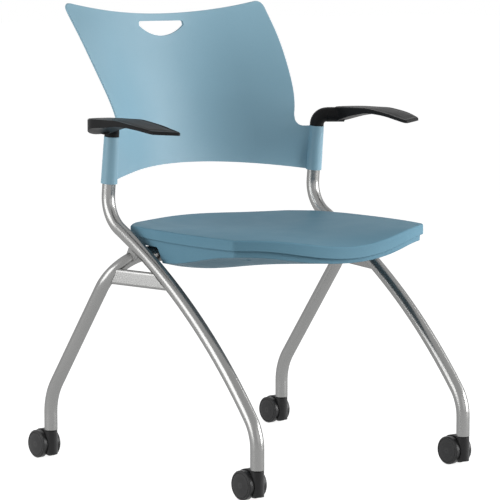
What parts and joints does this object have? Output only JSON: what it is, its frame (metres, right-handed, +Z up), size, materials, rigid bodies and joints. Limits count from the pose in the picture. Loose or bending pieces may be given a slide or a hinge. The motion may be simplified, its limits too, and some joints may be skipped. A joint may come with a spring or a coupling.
{
  "type": "nesting_chair",
  "caption": "Nesting chair on twin-wheel casters: flip-up blue plastic seat, blue curved back with a handle hole, black arms and a bent silver tube frame.",
  "frame": {"origin": "on the floor, under the middle of the chair's overall box", "axes": "+Z up; -Y is the way the chair faces; +X is the sitter's left; X = 0 is the middle plane"},
  "size_m": [0.681, 0.6197, 0.8604],
  "materials": {
    "frame_silver": "satin silver powder coat",
    "back_blue": "fine grain, soft sheen",
    "seat_blue": "fine grain, soft sheen",
    "arm_black": "fine grain",
    "bracket_steel": "black powder coat",
    "caster_black": "moulded nylon",
    "wheel_black": "moulded nylon",
    "screw_steel": "zinc plated"
  },
  "bodies": {
    "frame": {"frame_tube_right": "frame_silver", "frame_tube_left": "frame_silver", "rear_frame_tube": "frame_silver", "side_bar_right": "frame_silver", "side_bar_left": "frame_silver", "frame_gusset_right": "frame_silver", "frame_gusset_left": "frame_silver", "seat_stops": "frame_silver", "back_shell": "back_blue", "back_screws": "screw_steel", "arm_right": "arm_black", "arm_left": "arm_black", "caster_socket_front_right": "caster_black", "caster_socket_front_left": "caster_black", "caster_socket_rear_right": "caster_black", "caster_socket_rear_left": "caster_black"},
    "seat": {"seat_pan": "seat_blue", "seat_underpan": "seat_blue", "hinge_bracket_right": "bracket_steel", "hinge_bracket_left": "bracket_steel", "hinge_bush_right": "caster_black", "hinge_bush_left": "caster_black", "bracket_screws": "screw_steel", "underpan_screws": "screw_steel"},
    "caster_front_right": {"caster_body_front_right": "caster_black", "caster_stem_front_right": "screw_steel", "caster_axle_front_right": "screw_steel"},
    "wheel_front_right_outer_turning": {"wheel_front_right_outer": "wheel_black"},
    "wheel_front_right_inner_turning": {"wheel_front_right_inner": "wheel_black"},
    "caster_front_left": {"caster_body_front_left": "caster_black", "caster_stem_front_left": "screw_steel", "caster_axle_front_left": "screw_steel"},
    "wheel_front_left_outer_turning": {"wheel_front_left_outer": "wheel_black"},
    "wheel_front_left_inner_turning": {"wheel_front_left_inner": "wheel_black"},
    "caster_rear_right": {"caster_body_rear_right": "caster_black", "caster_stem_rear_right": "screw_steel", "caster_axle_rear_right": "screw_steel"},
    "wheel_rear_right_outer_turning": {"wheel_rear_right_outer": "wheel_black"},
    "wheel_rear_right_inner_turning": {"wheel_rear_right_inner": "wheel_black"},
    "caster_rear_left": {"caster_body_rear_left": "caster_black", "caster_stem_rear_left": "screw_steel", "caster_axle_rear_left": "screw_steel"},
    "wheel_rear_left_outer_turning": {"wheel_rear_left_outer": "wheel_black"},
    "wheel_rear_left_inner_turning": {"wheel_rear_left_inner": "wheel_black"}
  },
  "joints": [
    {"name": "seat_flip", "type": "hinge", "parent": "frame", "child": "seat", "pos_m": [0, 0.0536, 0.4052], "axis": [-1, 0, 0], "range_deg": [0, 80]},
    {"name": "swivel_front_right", "type": "hinge", "parent": "frame", "child": "caster_front_right", "pos_m": [-0.2545, -0.2949, 0.0532], "axis": [0, 0, 1], "continuous": true},
    {"name": "spin_front_right_outer", "type": "hinge", "parent": "caster_front_right", "child": "wheel_front_right_outer_turning", "pos_m": [-0.2689, -0.2729, 0.0265], "axis": [1, 0, 0], "continuous": true},
    {"name": "spin_front_right_inner", "type": "hinge", "parent": "caster_front_right", "child": "wheel_front_right_inner_turning", "pos_m": [-0.2401, -0.2729, 0.0265], "axis": [1, 0, 0], "continuous": true},
    {"name": "swivel_front_left", "type": "hinge", "parent": "frame", "child": "caster_front_left", "pos_m": [0.2545, -0.2949, 0.0532], "axis": [0, 0, 1], "continuous": true},
    {"name": "spin_front_left_outer", "type": "hinge", "parent": "caster_front_left", "child": "wheel_front_left_outer_turning", "pos_m": [0.2689, -0.2729, 0.0265], "axis": [1, 0, 0], "continuous": true},
    {"name": "spin_front_left_inner", "type": "hinge", "parent": "caster_front_left", "child": "wheel_front_left_inner_turning", "pos_m": [0.2401, -0.2729, 0.0265], "axis": [1, 0, 0], "continuous": true},
    {"name": "swivel_rear_right", "type": "hinge", "parent": "frame", "child": "caster_rear_right", "pos_m": [-0.2915, 0.2618, 0.0532], "axis": [0, 0, 1], "continuous": true},
    {"name": "spin_rear_right_outer", "type": "hinge", "parent": "caster_rear_right", "child": "wheel_rear_right_outer_turning", "pos_m": [-0.3059, 0.2838, 0.0265], "axis": [1, 0, 0], "continuous": true},
    {"name": "spin_rear_right_inner", "type": "hinge", "parent": "caster_rear_right", "child": "wheel_rear_right_inner_turning", "pos_m": [-0.2771, 0.2838, 0.0265], "axis": [1, 0, 0], "continuous": true},
    {"name": "swivel_rear_left", "type": "hinge", "parent": "frame", "child": "caster_rear_left", "pos_m": [0.2915, 0.2618, 0.0532], "axis": [0, 0, 1], "continuous": true},
    {"name": "spin_rear_left_outer", "type": "hinge", "parent": "caster_rear_left", "child": "wheel_rear_left_outer_turning", "pos_m": [0.3059, 0.2838, 0.0265], "axis": [1, 0, 0], "continuous": true},
    {"name": "spin_rear_left_inner", "type": "hinge", "parent": "caster_rear_left", "child": "wheel_rear_left_inner_turning", "pos_m": [0.2771, 0.2838, 0.0265], "axis": [1, 0, 0], "continuous": true}
  ]
}
